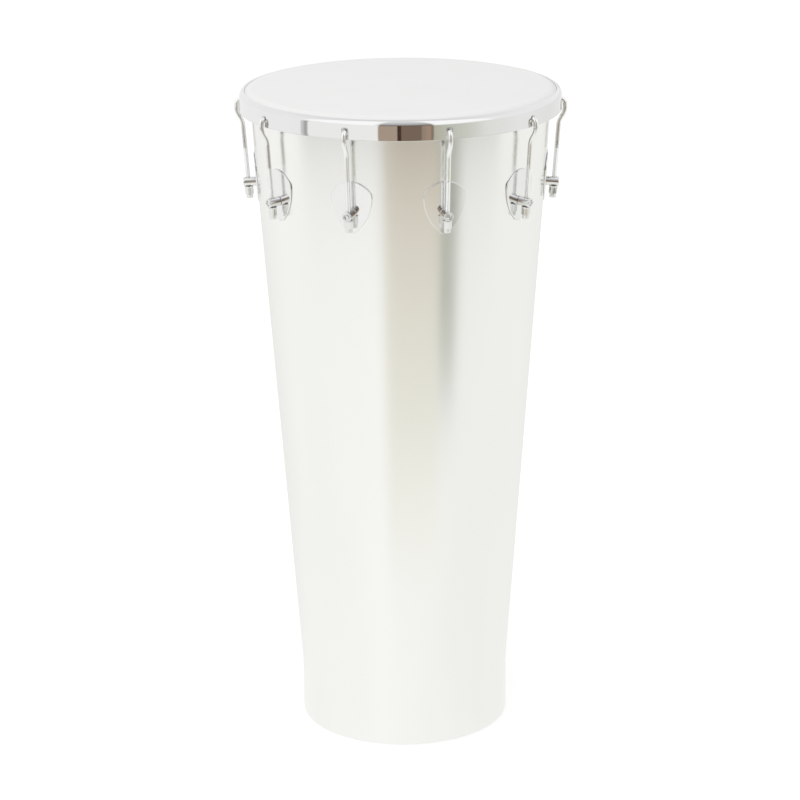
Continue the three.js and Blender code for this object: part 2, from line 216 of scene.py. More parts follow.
PLATE_FACE_INSETS = (0.7, 1.2, 2, 3.5, 5, 7, 9, 11, 13, 15, 17, 18.5)
PLATE_FACE_HOLE_ROWS = (2.5, 0.2)
PLATE_BACK_HOLE_ROWS = (0, 2.5)
PLATE_BACK_INSETS = (11, 3)
NUT_SIDES = 72

# An edge is sharp from this many degrees on
SHARP = 32
SHARP_PROFILE = 50
SHARP_SWEPT = 40
SHARP_NUT = 28

# Sizes that follow
SHELL_TOP = HEAD_HEIGHT - FILM - GAP
CONE_TOP = SHELL_TOP - BEARING_CURL
BEARING_RADIUS = SHELL_TOP_RADIUS - BEARING_CURL
TAPER = math.atan2(SHELL_TOP_RADIUS - FOOT_RADIUS, CONE_TOP - FOOT_HEIGHT)
SKIRT_INNER = SHELL_TOP_RADIUS + COLLAR_RUN
SKIRT_OUTER = SKIRT_INNER + FILM
SKIRT_TOP = HEAD_HEIGHT - COLLAR_DROP
FLESH_HOOP_OUTER = SKIRT_OUTER + CHANNEL_CLEARANCE + CHANNEL_OUTER_WALL
HOOP_BAND = FLESH_HOOP_OUTER + HOOP_BAND_GAP + HOOP_SHEET
HOOP_TOP = HEAD_HEIGHT - HOOP_DROP
HOOP_BOTTOM = HOOP_TOP - HOOP_HEIGHT
HOOK_HEIGHT = HOOP_TOP - HOOK_DROP
RISER_RADIUS = HOOP_BAND + HOOP_FLARE + GAP + ROD_RADIUS
LUG_HEIGHT = HEAD_HEIGHT - LUG_DROP
LUG_RADIUS = FOOT_RADIUS + (LUG_HEIGHT - FOOT_HEIGHT) * math.tan(TAPER)
TAIL_HOLE = POST_TAIL_RADIUS + TAIL_CLEARANCE
SEAT_DROP = POST_RADIUS - POST_SEAT_DEPTH
NUT_TOP = -SEAT_DROP - GAP

WALL = Matrix.Translation((LUG_RADIUS, 0, LUG_HEIGHT)) @ Matrix.Rotation(TAPER, 4, "Y")
ROD_AXIS = WALL @ Matrix.Translation((ROD_OFFSET, 0, 0))
ALONG_X = Matrix.Rotation(QUARTER, 4, "Y")


def lug_angle(i):
    return (i + 0.5) * TURN / LUG_COUNT - QUARTER


def lug_turn(i):
    return Matrix.Rotation(lug_angle(i), 4, "Z")


# Profiles are lists of (radius, height); paths run with their material on the left


def arc(cx, cz, radius, start, end, steps):
    angles = [math.radians(start + (end - start) * i / steps) for i in range(steps + 1)]
    return [(cx + radius * math.cos(a), cz + radius * math.sin(a)) for a in angles]


def offset_left(path, distance):
    """The left-hand side of a path, with mitred corners. A point on the axis stays there."""
    last = len(path) - 1
    moved = []
    for i, (r, z) in enumerate(path):
        sides = []
        for a, b in ((max(i - 1, 0), max(i, 1)), (min(i, last - 1), min(i + 1, last))):
            run, rise = path[b][0] - path[a][0], path[b][1] - path[a][1]
            length = math.hypot(run, rise)
            sides.append((-rise / length, run / length))
        normal = (sides[0][0] + sides[1][0], sides[0][1] + sides[1][1])
        mitre = 2 * distance / (normal[0] ** 2 + normal[1] ** 2)
        moved.append((r and r + normal[0] * mitre, z + normal[1] * mitre))
    return moved


def polar(r, angle, z):
    return Vector((r * math.cos(angle), r * math.sin(angle), z))


def circle(radius, height, sides):
    return [polar(radius, TURN * i / sides, height) for i in range(sides)]


def make(name, verts, faces, materials, matrix=Matrix(), sharp=SHARP, inner=()):
    """A mesh in metres, smooth but for sharp edges. Faces in inner take the second material."""
    mesh = bpy.data.meshes.new(name)
    mesh.from_pydata([matrix @ Vector(v) * MM for v in verts], [], faces)
    for finish in materials:
        mesh.materials.append(finish)
    for i in inner:
        mesh.polygons[i].material_index = 1
    mesh.shade_smooth()
    mesh.set_sharp_from_angle(angle=math.radians(sharp))
    return mesh


def skin(rings, closed=False):
    """Vertices and faces of a skin over rings of points. A ring of one point is a pole."""
    verts, rows = [], []
    for ring in rings:
        rows.append(range(len(verts), len(verts) + len(ring)))
        verts += ring
    sides = max(len(ring) for ring in rings)
    faces = []
    for low, high in zip(rows, rows[1:] + (rows[:1] if closed else [])):
        for i in range(sides):
            j = (i + 1) % sides
            corners = [low[i % len(low)], low[j % len(low)]]
            corners += [high[j % len(high)], high[i % len(high)]]
            faces.append(list(dict.fromkeys(corners)))
    return verts, faces


def turned(profile, sides=LATHE_SIDES, closed=True):
    rings = [circle(r, z, sides) if r else [Vector((0, 0, z))] for r, z in profile]
    return skin(rings, closed)


# Turned sheets with a hole at each lug. A hole sits in a square patch of the sheet's grid.


def patch_rows(middle):
    """Where a patch's rows lie along the sheet."""
    return [middle + PATCH_HALF * (2 * i / PATCH_CELLS - 1) for i in range(PATCH_CELLS + 1)]


def patch_border():
    """Columns and rows of the grid round a patch, and their places from the patch's middle."""
    n = PATCH_CELLS
    walk = [(i, 0) for i in range(n)] + [(n, i) for i in range(n)]
    walk += [(n - i, n) for i in range(n)] + [(0, n - i) for i in range(n)]
    places = [((2 * i / n - 1) * PATCH_HALF, (2 * j / n - 1) * PATCH_HALF) for i, j in walk]
    return walk, places


def hole_rings(hole_radius, thickness):
    """Rings through a hole with rounded edges, as (share of the way to it, radius, depth)."""
    rings = [(share, hole_radius + EDGE_ROUND, 0) for share in HOLE_RING_SHARES]
    for a in HOLE_EDGE_ANGLES:
        radius = hole_radius + EDGE_ROUND * (1 - math.sin(a))
        rings.append((1, radius, EDGE_ROUND * (1 - math.cos(a))))
    return rings + [(share, radius, thickness - depth) for share, radius, depth in rings[::-1]]


def drilled(path, thickness, patch_row, hole_radius, hole_rise, top_nose=(), foot_nose=()):
    """A turned sheet with a hole at each lug. The patches lie in the outer rows from patch_row on,
    and a hole's middle is hole_rise above its patch's. The noses round the sheet's two ends.
    Returns the vertices, the faces and which of them look inwards."""
    sheet = [*path, *top_nose, *offset_left(path, thickness)[::-1], *foot_nose]
    last_inner = 2 * len(path) + len(top_nose) - 1
    low, high = path[patch_row], path[patch_row + PATCH_CELLS]
    middle_r, middle_z = (low[0] + high[0]) / 2, (low[1] + high[1]) / 2
    up = (Vector(high) - Vector(low)).normalized()
    half_angle = PATCH_HALF / middle_r
    side_run = TURN / LUG_COUNT / 2 - half_angle
    side = [half_angle + side_run * (i + 1) / SECTOR_STEPS for i in range(SECTOR_STEPS)]
    patch = [half_angle * (2 * i / PATCH_CELLS - 1) for i in range(PATCH_CELLS + 1)]
    sector = [-a for a in side[:-1][::-1]] + patch + side
    patch_columns = [lug * len(sector) + SECTOR_STEPS - 1 for lug in range(LUG_COUNT)]
    angles = [lug_angle(lug) + a for lug in range(LUG_COUNT) for a in sector]
    rows, columns = len(sheet), len(angles)
    verts = [polar(r, a, z) for r, z in sheet for a in angles]

    cut = set()
    for first in patch_columns:
        for column in range(first, first + PATCH_CELLS):
            for k in range(PATCH_CELLS):
                cut.add((patch_row + k, column))
                cut.add((last_inner - 1 - patch_row - k, column))
    faces, inner = [], []
    for k in range(rows):
        for c in range(columns):
            if (k, c) in cut:
                continue
            if k >= len(path) - 1:
                inner.append(len(faces))
            row, above, right = k * columns, (k + 1) % rows * columns, (c + 1) % columns
            faces.append([row + c, row + right, above + right, above + c])

    walk, places = patch_border()
    rings = hole_rings(hole_radius, thickness)
    for lug, first in enumerate(patch_columns):
        loops = [[(patch_row + j) * columns + first + i for i, j in walk]]
        for share, radius, depth in rings:
            loop = []
            for across, rise in places:
                towards = math.atan2(rise - hole_rise, across)
                w = across + (radius * math.cos(towards) - across) * share
                s = rise + (hole_rise + radius * math.sin(towards) - rise) * share
                r = middle_r + up[0] * s - up[1] * depth
                z = middle_z + up[1] * s + up[0] * depth
                loop.append(len(verts))
                verts.append(polar(r, lug_angle(lug) + w / middle_r, z))
            loops.append(loop)
        loops.append([(last_inner - patch_row - j) * columns + first + i for i, j in walk])
        first_inner_band = len(loops) - 2 - len(HOLE_RING_SHARES)
        for band, (outside, inside) in enumerate(zip(loops, loops[1:])):
            for i in range(len(outside)):
                j = (i + 1) % len(outside)
                if band >= first_inner_band:
                    inner.append(len(faces))
                faces.append([outside[i], outside[j], inside[j], inside[i]])
    return verts, faces, inner


def thread_radius(along, angle):
    """Radius of a right-hand thread at a distance along its axis."""
    phase = (along / THREAD_PITCH - angle / TURN) % 1
    return THREAD_CREST - THREAD_DEPTH * abs(2 * phase - 1)


# Shader nodes


def node(tree, kind, inputs=None, **settings):
    """Adds a shader node. An input is a socket to link from, or a value."""
    made = tree.nodes.new("ShaderNode" + kind)
    for key, value in settings.items():
        setattr(made, key, value)
    for key, value in (inputs or {}).items():
        if isinstance(value, bpy.types.NodeSocket):
            tree.links.new(value, made.inputs[key])
        else:
            made.inputs[key].default_value = value
    return made


def calc(tree, operation, *values):
    return node(tree, "Math", dict(enumerate(values)), operation=operation).outputs[0]


def ease(tree, value, start, end, low=0.0, high=1.0):
    """Goes smoothly from low to high while value goes from start to end."""
    inputs = {"Value": value, "From Min": start, "From Max": end, "To Min": low, "To Max": high}
    made = node(tree, "MapRange", inputs, interpolation_type="SMOOTHSTEP")
    return made.outputs["Result"]


def blend(tree, share, a, b, kind="MIX"):
    """Colour a where share is 0, b where it is 1."""
    made = node(tree, "Mix", {0: share, 6: a, 7: b}, data_type="RGBA", blend_type=kind)
    return made.outputs[2]


def ramp(tree, value, stops):
    made = node(tree, "ValToRGB", {0: value})
    elements = made.color_ramp.elements
    while len(elements) < len(stops):
        elements.new(1)
    for element, (place, colour) in zip(elements, stops):
        element.position = place
        element.color = (*colour, 1)
    return made.outputs[0]


def noise(tree, coordinates, scale, detail=2.0, roughness=0.5):
    inputs = {"Vector": coordinates, "Scale": scale, "Detail": detail, "Roughness": roughness}
    return node(tree, "TexNoise", inputs).outputs["Fac"]


def object_place(tree):
    return node(tree, "TexCoord").outputs["Object"]


def unrolled(tree, scale):
    """Object coordinates as (turns round the axis, 0, height), times a scale."""
    place = node(tree, "SeparateXYZ", {0: object_place(tree)}).outputs
    turns = calc(tree, "MULTIPLY", calc(tree, "ARCTAN2", place["Y"], place["X"]), 1 / TURN)
    flat = node(tree, "CombineXYZ", {0: turns, 2: place["Z"]}).outputs[0]
    return node(tree, "VectorMath", {0: flat, 1: scale}, operation="MULTIPLY").outputs[0]


def bump(tree, height, distance):
    return node(tree, "Bump", {"Height": height, "Distance": distance, "Strength": 1.0}).outputs[0]


def material(name, metallic):
    made = bpy.data.materials.new(name)
    made.use_nodes = True
    tree = made.node_tree
    tree.nodes.clear()
    shader = node(tree, "BsdfPrincipled", {"Metallic": metallic})
    node(tree, "OutputMaterial", {"Surface": shader.outputs[0]})
    return made, tree, shader


def dress(tree, shader, tone, gloss, normal):
    for key, value in (("Base Color", tone), ("Roughness", gloss), ("Normal", normal)):
        tree.links.new(value, shader.inputs[key])


def grey(level, tint=(1, 1, 1)):
    return tuple(level * t for t in tint)


# Materials. Scales are per metre, depths are in metres, and colours come in pairs, dark and light.
CLOUD_RANGE = (0.3, 0.7)  # most of a noise lies in it
CLOUD_DETAIL = 3.0
METAL_TONE_SHARES = (0.985, 1.01)
METAL_GLOSS_SHARES = (0.85, 1.2)
SHELL_CLOUDS = (26, 1, 5)  # per turn, nothing, per metre
SHELL_LINES = (6, 1, 2600)
SHELL_TONES = ((0.915, 0.92, 0.902), (0.93, 0.935, 0.917))
SHELL_GLOSS = (0.18, 0.2)
SHELL_LINE_GLOSS = 0.03
SHELL_LINE_DEPTH = 0.000002
FILM_CLOUDS = 9.0
FILM_TONES = ((0.825, 0.832, 0.818), (0.84, 0.846, 0.834))
FILM_TOOTH = 2600.0
FILM_TOOTH_ROUGHNESS = 0.6
FILM_TOOTH_RANGE = (0.35, 0.65)
FILM_GLOSS = (0.36, 0.5)
FILM_TOOTH_DEPTH = 0.00002

# Level, tint, roughness, scale of the clouds and of the grain, depth of the grain
METALS = {
    "shell_inside": (0.74, (1, 1, 0.985), 0.34, 14.0, 900.0, 0.00001),
    "hoop_chrome": (0.815, (1, 1.005, 1), 0.045, 30.0, 700.0, 0.0000005),
    "rod_chrome": (0.9, (1, 1.005, 1), 0.19, 60.0, 900.0, 0.0000008),
    "lug_chrome": (0.81, (1, 1.005, 1), 0.12, 60.0, 900.0, 0.0000008),
    "plate_chrome": (0.86, (1, 1.005, 1), 0.08, 60.0, 700.0, 0.000001),
    "zinc_steel": (0.6, (1, 1.01, 1.03), 0.32, 120.0, 1500.0, 0.000008),
    "plain_aluminium": (0.76, (1, 1, 1), 0.28, 40.0, 1200.0, 0.000005),
}


def metal(name, level, tint, roughness, cloud_scale, grain_scale, grain_depth):
    """Metal with slow clouds in its tone and gloss, and a fine grain."""
    made, tree, shader = material(name, 1.0)
    place = object_place(tree)
    clouds = noise(tree, place, cloud_scale, CLOUD_DETAIL)
    tones = [grey(level * share, tint) for share in METAL_TONE_SHARES]
    tone = ramp(tree, clouds, list(zip(CLOUD_RANGE, tones)))
    gloss = ease(tree, clouds, *CLOUD_RANGE, *(roughness * share for share in METAL_GLOSS_SHARES))
    dress(tree, shader, tone, gloss, bump(tree, noise(tree, place, grain_scale), grain_depth))
    return made


def polished_shell():
    """Aluminium polished in the lathe: fine lines round the axis and slow clouds in the gloss."""
    made, tree, shader = material("polished_aluminium", 1.0)
    clouds = noise(tree, unrolled(tree, SHELL_CLOUDS), 1.0, CLOUD_DETAIL)
    lines = noise(tree, unrolled(tree, SHELL_LINES), 1.0)
    tone = ramp(tree, clouds, list(zip(CLOUD_RANGE, SHELL_TONES)))
    line_gloss = calc(tree, "MULTIPLY", lines, SHELL_LINE_GLOSS)
    gloss = calc(tree, "ADD", ease(tree, clouds, *CLOUD_RANGE, *SHELL_GLOSS), line_gloss)
    dress(tree, shader, tone, gloss, bump(tree, lines, SHELL_LINE_DEPTH))
    return made


def head_film():
    """Milky coated plastic with a fine even tooth."""
    made, tree, shader = material("head_film", 0.0)
    place = object_place(tree)
    clouds = noise(tree, place, FILM_CLOUDS, CLOUD_DETAIL)
    tooth = noise(tree, place, FILM_TOOTH, roughness=FILM_TOOTH_ROUGHNESS)
    tone = ramp(tree, clouds, list(zip(CLOUD_RANGE, FILM_TONES)))
    gloss = ease(tree, tooth, *FILM_TOOTH_RANGE, *FILM_GLOSS)
    dress(tree, shader, tone, gloss, bump(tree, tooth, FILM_TOOTH_DEPTH))
    return made


# The drum's pieces


def build_shell(outside, inside):
    lip = FOOT_RADIUS - FOOT_CORNER - FOOT_FLAT
    path = [(lip - FOOT_LIP_RUN, FOOT_LIP_RISE)]
    path += [(lip - FOOT_LIP_RUN * LIP_BEND_RUN, FOOT_LIP_RISE * LIP_BEND_RISE)]
    path += [(lip, 0), (lip + FOOT_FLAT / 2, 0)]
    path += arc(FOOT_RADIUS - FOOT_CORNER, FOOT_CORNER, FOOT_CORNER, 270, 360, FOOT_CORNER_STEPS)
    path += [(FOOT_RADIUS, z) for z in (*FOOT_ROWS, FOOT_HEIGHT - FOOT_KINK_RUN)]
    kink_half = FOOT_KINK_RUN / 2
    for k in range(KINK_STEPS + 1):
        share = k / KINK_STEPS
        stand_out = kink_half * math.tan(TAPER) * share**2
        path.append((FOOT_RADIUS + stand_out, FOOT_HEIGHT + kink_half * (2 * share - 1)))
    lugs = (LUG_HEIGHT - FOOT_HEIGHT) / math.cos(TAPER)
    end = (CONE_TOP - FOOT_HEIGHT) / math.cos(TAPER)
    below = [*CONE_ROWS, lugs - PATCH_MARGIN]
    above = [lugs + PATCH_MARGIN, lugs + CONE_ROW_OVER_LUGS]
    above += [end - distance for distance in CONE_ROWS_UNDER_CURL]
    patch_row = len(path) + len(below)
    for s in below + patch_rows(lugs) + above:
        path.append((FOOT_RADIUS + s * math.sin(TAPER), FOOT_HEIGHT + s * math.cos(TAPER)))
    path += arc(BEARING_RADIUS, CONE_TOP, BEARING_CURL, 0, 180, BEARING_STEPS)
    verts, faces, inner = drilled(path, SHELL_WALL, patch_row, TAIL_HOLE, 0)
    return make("shell", verts, faces, [outside, inside], inner=inner)


def build_hoop(chrome):
    """Band with a rolled lower edge, a round shoulder and a lip that ends in a round nose."""
    path = []
    for k in range(ROLL_STEPS):
        stand_out = HOOP_ROLL * (1 - k / ROLL_STEPS) ** ROLL_POWER
        path.append((HOOP_BAND + stand_out, HOOP_BOTTOM + HOOP_FLARE_HEIGHT * k / ROLL_STEPS))
    flare_end = HOOP_BOTTOM + HOOP_FLARE_HEIGHT
    path.append((HOOP_BAND, flare_end + ROLL_END))
    patch_row = len(path)
    patch_middle = flare_end + PATCH_HALF + HOOP_PATCH_START
    path += [(HOOP_BAND, z) for z in patch_rows(patch_middle)]
    half, end = HOOP_SHEET / 2, math.radians(HOOP_SHOULDER_TURN)
    centre_r = HOOP_BAND - HOOP_SHOULDER
    centre_z = HOOP_TOP - half - (HOOP_SHOULDER - half) * math.sin(end)
    path += arc(centre_r, centre_z, HOOP_SHOULDER, 0, HOOP_SHOULDER_TURN, SHOULDER_STEPS)
    nose_r = centre_r + (HOOP_SHOULDER - half) * math.cos(end)
    nose_turn = (HOOP_SHOULDER_TURN, HOOP_SHOULDER_TURN + 180)
    nose = arc(nose_r, HOOP_TOP - half, half, *nose_turn, NOSE_STEPS)
    edge = arc(HOOP_BAND + HOOP_ROLL - half, HOOP_BOTTOM, half, 180, 360, FOOT_NOSE_STEPS)
    foot_nose = [(r, (HOOP_BOTTOM + z) / 2) for r, z in edge[1:-1]]
    hole_height = HOOK_HEIGHT - ROD_RADIUS - HOOK_HOLE_SLACK + HOOK_HOLE_RADIUS
    hole = (patch_row, HOOK_HOLE_RADIUS, hole_height - patch_middle)
    verts, faces, _ = drilled(path, HOOP_SHEET, *hole, nose[1:-1], foot_nose)
    return make("counterhoop", verts, faces, [chrome])


def build_head(film):
    path = [(SKIRT_OUTER, SKIRT_TOP - SKIRT_DEPTH)]
    path += [(SKIRT_OUTER + run, SKIRT_TOP + rise) for run, rise in SKIRT_EASE]
    middle = (BEARING_RADIUS, HEAD_HEIGHT - COLLAR_BEND)
    path += arc(*middle, COLLAR_BEND, COLLAR_START, 90, COLLAR_STEPS)
    path += [(r, HEAD_HEIGHT) for r in (BEARING_RADIUS - FLAT_START, BEARING_RADIUS / 2, 0)]
    sheet = path + offset_left(path, FILM)[::-1]
    return make("drumhead", *turned(sheet), [film], sharp=SHARP_PROFILE)


def build_flesh_hoop(aluminium):
    slot_inner = SKIRT_INNER - CHANNEL_CLEARANCE
    slot_outer = SKIRT_OUTER + CHANNEL_CLEARANCE
    inner = slot_inner - CHANNEL_INNER_WALL
    top = HOOP_TOP - HOOP_SHEET - GAP
    floor = SKIRT_TOP - SKIRT_DEPTH - CHANNEL_SPARE_DEPTH
    low = floor - CHANNEL_FLOOR
    e = EDGE_ROUND
    profile = [
        (inner + e, low),
        (FLESH_HOOP_OUTER - e, low),
        (FLESH_HOOP_OUTER, low + e),
        (FLESH_HOOP_OUTER, top - CHANNEL_BEVEL_RISE),
        (FLESH_HOOP_OUTER - CHANNEL_BEVEL_RUN, top),
        (slot_outer + e, top),
        (slot_outer, top - e),
        (slot_outer, floor),
        (slot_inner, floor),
        (slot_inner, top - CHANNEL_INNER_STEP - e),
        (slot_inner - e, top - CHANNEL_INNER_STEP),
        (inner + e, top - CHANNEL_INNER_STEP),
        (inner, top - CHANNEL_INNER_STEP - e),
        (inner, low + e),
    ]
    return make("flesh_hoop", *turned(profile), [aluminium], sharp=SHARP_PROFILE)


def rod_line(s):
    return ROD_AXIS @ Vector((0, 0, s))


def rod_stations(tail):
    """Places along the rod from its tail up, each with its distance along the thread, or None,
    and with its radius as a share of the wire's."""
    step = THREAD_PITCH / THREAD_ROWS_PER_TURN
    count = int((THREAD_TOP - tail) / step)
    stations = [(rod_line(tail + i * step), i * step, 1) for i in range(count)]
    stations += [(rod_line(THREAD_TOP + d), None, 1) for d in ROD_ROWS_OVER_THREAD]
    up = WALL.to_3x3() @ Vector((0, 0, 1))
    riser_bottom = HOOK_HEIGHT - HOOK_BEND - HOOK_RISE
    sweep_at = (riser_bottom - SWEEP_HEIGHT - rod_line(0).z) / up.z
    start, end = rod_line(sweep_at), Vector((RISER_RADIUS, 0, riser_bottom))
    a, b = start + up * SWEEP_HEIGHT / 2, end - Vector((0, 0, SWEEP_HEIGHT / 2))
    for i in range(SWEEP_STEPS + 1):
        t = i / SWEEP_STEPS
        u = 1 - t
        place = start * u**3 + a * 3 * t * u**2 + b * 3 * t**2 * u + end * t**3
        stations.append((place, None, 1))
    bend = arc(RISER_RADIUS - HOOK_BEND, HOOK_HEIGHT - HOOK_BEND, HOOK_BEND, 0, 90, HOOK_STEPS)
    stations += [(Vector((r, 0, z)), None, 1) for r, z in bend]
    tip = HOOP_BAND - HOOP_SHEET - HOOK_TIP_INSIDE
    for distance, share in TIP_ROUND:
        stations.append((Vector((tip + distance * ROD_RADIUS, 0, HOOK_HEIGHT)), None, share))
    return stations


def threaded_radius(along, angle, length):
    """Radius of the rod in its thread, which tapers at the rod's end and runs out at its top."""
    full = thread_radius(along, -angle)
    if along <= THREAD_LEAD:
        return full * (THREAD_END_SHARE + (1 - THREAD_END_SHARE) * along / THREAD_LEAD)
    share = max(0, min(1, (length - along) / THREAD_RUN_OUT))
    return ROD_RADIUS + (full - ROD_RADIUS) * share


def build_rod(chrome):
    """Threaded tail, straight wire, sweep out past the hoop, crook and tip."""
    tail = NUT_TOP - NUT_HEIGHT + ROD_END_INSIDE
    stations = rod_stations(tail)
    points = [place for place, _, _ in stations]
    rings = []
    for i, (place, along, share) in enumerate(stations):
        way = points[min(i + 1, len(points) - 1)] - points[max(i - 1, 0)]
        way.normalize()
        side = Vector((-way.z, 0, way.x))
        ring = []
        for k in range(ROD_SIDES):
            angle = TURN * k / ROD_SIDES
            radius = ROD_RADIUS * share
            if along is not None:
                radius = threaded_radius(along, angle, THREAD_TOP - tail)
            out = side * math.cos(angle) + Vector((0, math.sin(angle), 0))
            ring.append(place + out * radius)
        rings.append(ring)
    rings = [[points[0]]] + rings + [[points[-1]]]
    return make("tension_rod", *skin(rings), [chrome], sharp=SHARP_SWEPT)


def square_ring(half, height, sides):
    ring = []
    for i in range(sides):
        a = TURN * (i + 0.5) / sides
        reach = min(half / max(abs(math.cos(a)), abs(math.sin(a))), half * BOSS_CORNER)
        ring.append(polar(reach, a, height))
    return ring


def plug(radius, low, high, sides):
    return turned([(0, low), (radius, low), (radius, high), (0, high)], sides, closed=False)


def carve(mesh, cutters):
    """The mesh less the cutters, which are meshes too."""
    made = bpy.data.objects.new("carved", mesh)
    bpy.context.scene.collection.objects.link(made)
    used = []
    for cutter in cutters:
        tool = bpy.data.objects.new("cutter", cutter)
        bpy.context.scene.collection.objects.link(tool)
        cut = made.modifiers.new("cut", "BOOLEAN")
        cut.object = tool
        cut.operation = "DIFFERENCE"
        cut.solver = "EXACT"
        used.append(tool)
    bpy.context.view_layer.update()
    carved = made.evaluated_get(bpy.context.evaluated_depsgraph_get())
    result = bpy.data.meshes.new_from_object(carved)
    for tool in [made, *used]:
        bpy.data.objects.remove(tool)
    return result


def tail_rings():
    """The post's tail: threaded from its end to the shell, then plain up to the barrel."""
    n = POST_SIDES
    end = -LOCK_SEAT - LOCK_FLANGE - LOCK_NUT_HEIGHT - POST_TAIL_SPARE
    end_radius = POST_TAIL_RADIUS * TAIL_END_SHARE
    rings = [[Vector((0, 0, end))], circle(end_radius, end, n)]
    step = THREAD_PITCH / THREAD_ROWS_PER_TURN
    for i in range(int((-SHELL_WALL - end) / step)):
        along = (i + 0.5) * step
        ring = []
        for k in range(n):
            angle = TURN * k / n
            radius = min(thread_radius(along, angle), end_radius + along)
            ring.append(polar(radius, angle, end + along))
        rings.append(ring)
    return rings + [circle(POST_TAIL_RADIUS - TAIL_NECK, -SHELL_WALL + THREAD_TO_NECK, n)]


def recess_rings():
    """The barrel's rounded rim, and the dished recess inside it with its square boss."""
    n, floor = POST_SIDES, POST_REACH - POST_RECESS_DEPTH
    bead = (POST_RADIUS - POST_RECESS_RADIUS - RIM_INSET) / 2
    rings = []
    for degrees in RIM_ANGLES:
        t = math.radians(degrees)
        r, z = POST_RADIUS - bead * (1 - math.cos(t)), POST_REACH - POST_RIM * (1 - math.sin(t))
        rings.append(circle(r, z, n))
    boss_top = floor + BOSS_HEIGHT
    return rings + [
        circle(POST_RECESS_RADIUS, POST_REACH - POST_RIM - RECESS_LIP, n),
        circle(POST_RECESS_RADIUS - RECESS_DRAFT, floor, n),
        square_ring(BOSS_HALF_WIDTH, floor - RECESS_DISH, n),
        square_ring(BOSS_HALF_WIDTH, boss_top - BOSS_CHAMFER, n),
        square_ring(BOSS_HALF_WIDTH - BOSS_CHAMFER, boss_top, n),
        [Vector((0, 0, boss_top))],
    ]


def build_post(chrome):
    """Barrel with a rounded end, a recess with a square boss, a threaded tail and a cross hole."""
    n, base = POST_SIDES, GAP + PLATE_THICKNESS + GAP
    rings = tail_rings()
    rings += [circle(POST_TAIL_RADIUS - TAIL_NECK, base, n)]
    rings += [circle(POST_RADIUS - POST_BASE_CHAMFER, base, n)]
    rings += [circle(POST_RADIUS, z, n) for z in (base + POST_BASE_CHAMFER, *POST_ROWS)]
    rings += recess_rings()
    barrel = make("post", *skin(rings), [chrome], WALL @ ALONG_X)
    reach = 2 * POST_RADIUS
    bore = plug(ROD_RADIUS + POST_BORE_CLEARANCE, -reach, reach, BORE_SIDES)
    seat = plug(POST_SEAT_RADIUS, -reach, -SEAT_DROP, n)
    cutters = [make("bore", *bore, [chrome], ROD_AXIS), make("seat", *seat, [chrome], ROD_AXIS)]
    post = carve(barrel, cutters)
    post.name = "lug_post"
    post.shade_smooth()
    post.set_sharp_from_angle(angle=math.radians(SHARP))
    return post


def plate_outline():
    """Points round the plate, across and up from the post, from its point up the right side."""
    height = PLATE_TOP + PLATE_BOTTOM
    right, at = [], (0.0, -PLATE_BOTTOM)
    for steer_w, steer_h, end_w, end_h in PLATE_CURVE_SHARES:
        steer = (steer_w * PLATE_HALF_WIDTH, steer_h * height - PLATE_BOTTOM)
        end = (end_w * PLATE_HALF_WIDTH, end_h * height - PLATE_BOTTOM)
        for i in range(PLATE_POINTS_PER_CURVE):
            t = i / PLATE_POINTS_PER_CURVE
            u = 1 - t
            corners = zip(at, steer, end)
            right.append(tuple(a * u**2 + 2 * b * t * u + c * t**2 for a, b, c in corners))
        at = end
    right.append(at)
    left = [(-w, s) for w, s in right[1:-1]]
    return right + left[::-1]


def plate_ring(outline, height, inset=0.0, from_hole=None):
    """The outline drawn in, or drawn together to a distance from the hole, at a height over the
    cone. The plate's face is crowned and a little flatter than the cone."""
    ring = []
    for w, s in outline:
        reach = math.hypot(w, s)
        along = reach - inset if from_hole is None else TAIL_HOLE + from_hole
        across, up = w * along / reach, s * along / reach
        rise = height
        if height > GAP + PLATE_THICKNESS / 2:
            share = min(1, max(0, (reach - along) / (reach - TAIL_HOLE)))
            rise += PLATE_CROWN * math.sin(share * QUARTER)
            rise += across**2 / LUG_RADIUS * PLATE_FLATTER
        r = LUG_RADIUS + up * math.sin(TAPER) + rise * math.cos(TAPER)
        z = LUG_HEIGHT + up * math.cos(TAPER) - rise * math.sin(TAPER)
        ring.append(polar(r, across / LUG_RADIUS, z))
    return ring


def build_plate(chrome):
    """Pressed plate that follows the cone, slightly crowned, its edge rounded over."""
    outline = plate_outline()
    top, e = GAP + PLATE_THICKNESS, PLATE_ROUND
    rings = [plate_ring(outline, GAP, PLATE_BACK_EDGE)]
    rings += [plate_ring(outline, height) for height in (GAP + PLATE_BACK_EDGE, top - e)]
    for i in range(PLATE_ROUND_STEPS):
        t = QUARTER * (i + 1) / PLATE_ROUND_STEPS
        rings.append(plate_ring(outline, top - e * (1 - math.sin(t)), e * (1 - math.cos(t))))
    rings += [plate_ring(outline, top, inset) for inset in PLATE_FACE_INSETS]
    rings += [plate_ring(outline, top, from_hole=d) for d in PLATE_FACE_HOLE_ROWS]
    rings += [plate_ring(outline, GAP, from_hole=d) for d in PLATE_BACK_HOLE_ROWS]
    rings += [plate_ring(outline, GAP, inset) for inset in PLATE_BACK_INSETS]
    return make("lug_plate", *skin(rings, closed=True), [chrome], sharp=SHARP_SWEPT)


def hex_radius(flats, angle):
    return flats / 2 / math.cos((angle % SIXTH) - SIXTH / 2)


def nut_mesh(name, rows, flats, finish, matrix=Matrix()):
    """A nut from rows of (height, radius, pick), from its mouth up the bore and down outside. Pick
    says which of the circle and the hexagon a ring follows, min or max, or None for the circle."""
    rings = []
    for height, radius, pick in rows[::-1]:
        ring = []
        for i in range(NUT_SIDES):
            a = TURN * i / NUT_SIDES
            ring.append(polar(pick(radius, hex_radius(flats, a)) if pick else radius, a, height))
        rings.append(ring)
    return make(name, *skin(rings, closed=True), [finish], matrix, SHARP_NUT)


